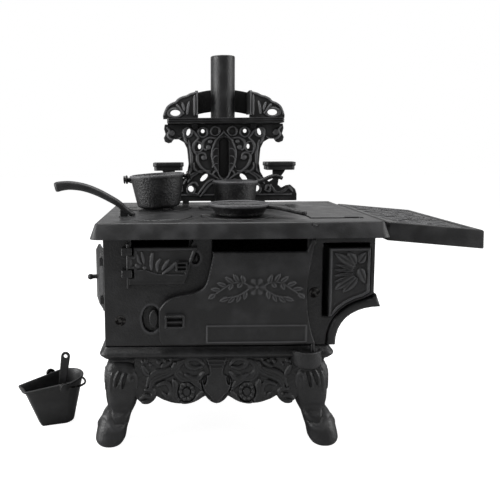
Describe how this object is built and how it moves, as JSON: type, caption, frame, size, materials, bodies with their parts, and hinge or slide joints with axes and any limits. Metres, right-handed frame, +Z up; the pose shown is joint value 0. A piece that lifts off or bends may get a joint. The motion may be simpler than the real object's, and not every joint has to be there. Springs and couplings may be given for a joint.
{
  "type": "toy cooking range",
  "caption": "Black cast iron toy cooking range with lift-off lids, scrolled warming shelf, flue pipe, side shelf, cookware and a coal hod.",
  "frame": {"origin": "middle of the whole set at floor height, where the feet stand", "axes": "+X to the right along the front, +Y to the back, +Z up"},
  "size_m": [0.3554, 0.1686, 0.3082],
  "materials": {
    "black_iron": "sand cast, oiled black, satin",
    "inner_iron": "sand cast, sooty black",
    "bright_steel": "drawn wire and turned screws, darkened"
  },
  "bodies": {
    "stove": {"base_frame": "black_iron", "leg_front_left": "black_iron", "leg_front_right": "black_iron", "leg_rear_left": "black_iron", "leg_rear_right": "black_iron", "front_panel": "black_iron", "left_side_panel": "black_iron", "right_end": "black_iron", "back_panel": "black_iron", "floor_plate": "inner_iron", "fire_grate": "inner_iron", "water_tank": "black_iron", "screw_left": "bright_steel", "nut_left": "bright_steel", "screw_right": "bright_steel", "nut_right": "bright_steel", "cook_top": "black_iron", "backsplash": "black_iron", "warming_shelf": "black_iron", "crest": "black_iron", "teapot_shelf_left": "black_iron", "teapot_shelf_right": "black_iron"},
    "oven_door": {"oven_door": "black_iron"},
    "fire_door": {"fire_door": "black_iron"},
    "side_door": {"side_door": "black_iron"},
    "lid_front_left": {"lid_front_left": "black_iron"},
    "lid_front_right": {"lid_front_right": "black_iron"},
    "lid_rear_left": {"lid_rear_left": "black_iron"},
    "lid_rear_right": {"lid_rear_right": "black_iron"},
    "long_lid": {"long_lid": "black_iron"},
    "flue_pipe": {"flue_pipe": "black_iron"},
    "side_shelf": {"side_shelf": "black_iron"},
    "bail_pot": {"bail_pot": "black_iron"},
    "pot_bail": {"pot_bail": "bright_steel"},
    "saucepan": {"saucepan": "black_iron"},
    "skillet": {"skillet": "black_iron"},
    "lid_lifter": {"lid_lifter": "black_iron"},
    "coal_hod": {"coal_hod": "black_iron"},
    "hod_bail": {"hod_bail": "bright_steel"},
    "coal_shovel": {"coal_shovel": "black_iron"}
  },
  "joints": [
    {"name": "oven_door_hinge", "type": "hinge", "parent": "stove", "child": "oven_door", "pos_m": [0.05122, -0.07615, 0.115], "axis": [0, 0, 1], "range_deg": [0, 110]},
    {"name": "fire_door_hinge", "type": "hinge", "parent": "stove", "child": "fire_door", "pos_m": [-0.08388, -0.07445, 0.1376], "axis": [0, 0, -1], "range_deg": [0, 100]},
    {"name": "side_door_hinge", "type": "hinge", "parent": "stove", "child": "side_door", "pos_m": [-0.10398, -0.05775, 0.1228], "axis": [0, 0, 1], "range_deg": [-12, 85]},
    {"name": "lid_front_left_lift", "type": "slide", "parent": "stove", "child": "lid_front_left", "axis": [0, 0, 1], "range_m": [0, 0.015]},
    {"name": "lid_front_right_lift", "type": "slide", "parent": "stove", "child": "lid_front_right", "axis": [0, 0, 1], "range_m": [0, 0.015]},
    {"name": "lid_rear_left_lift", "type": "slide", "parent": "stove", "child": "lid_rear_left", "axis": [0, 0, 1], "range_m": [0, 0.015]},
    {"name": "lid_rear_right_lift", "type": "slide", "parent": "stove", "child": "lid_rear_right", "axis": [0, 0, 1], "range_m": [0, 0.015]},
    {"name": "long_lid_lift", "type": "slide", "parent": "stove", "child": "long_lid", "axis": [0, 0, 1], "range_m": [0, 0.015]},
    {"name": "flue_pipe_lift", "type": "slide", "parent": "stove", "child": "flue_pipe", "axis": [0, 0, 1], "range_m": [0, 0.14]},
    {"name": "side_shelf_hinge", "type": "hinge", "parent": "stove", "child": "side_shelf", "pos_m": [0.10342, 0.00125, 0.1645], "axis": [0, -1, 0], "range_deg": [0, 40]},
    {"name": "bail_pot_lift", "type": "slide", "parent": "lid_rear_left", "child": "bail_pot", "axis": [0, 0, 1], "range_m": [0, 0.025]},
    {"name": "pot_bail_hinge", "type": "hinge", "parent": "bail_pot", "child": "pot_bail", "pos_m": [-0.06567, 0.01325, 0.19741], "axis": [0.9981, 0, 0.061], "range_deg": [0, 180]},
    {"name": "saucepan_lift", "type": "slide", "parent": "lid_rear_right", "child": "saucepan", "axis": [0, 0, 1], "range_m": [0, 0.025]},
    {"name": "skillet_lift", "type": "slide", "parent": "lid_front_right", "child": "skillet", "axis": [0, 0, 1], "range_m": [0, 0.025]},
    {"name": "lid_lifter_lift", "type": "slide", "parent": "lid_front_left", "child": "lid_lifter", "axis": [0, 0, 1], "range_m": [0, 0.025]},
    {"name": "coal_hod_lift", "type": "slide", "parent": "stove", "child": "coal_hod", "axis": [0, 0, 1], "range_m": [0, 0.02]},
    {"name": "hod_bail_hinge", "type": "hinge", "parent": "coal_hod", "child": "hod_bail", "pos_m": [-0.14791, -0.03285, 0.034], "axis": [0.5, -0.866, 0], "range_deg": [0, 55]},
    {"name": "coal_shovel_lift", "type": "slide", "parent": "coal_hod", "child": "coal_shovel", "axis": [0.1392, 0, 0.9903], "range_m": [0, 0.042]}
  ]
}
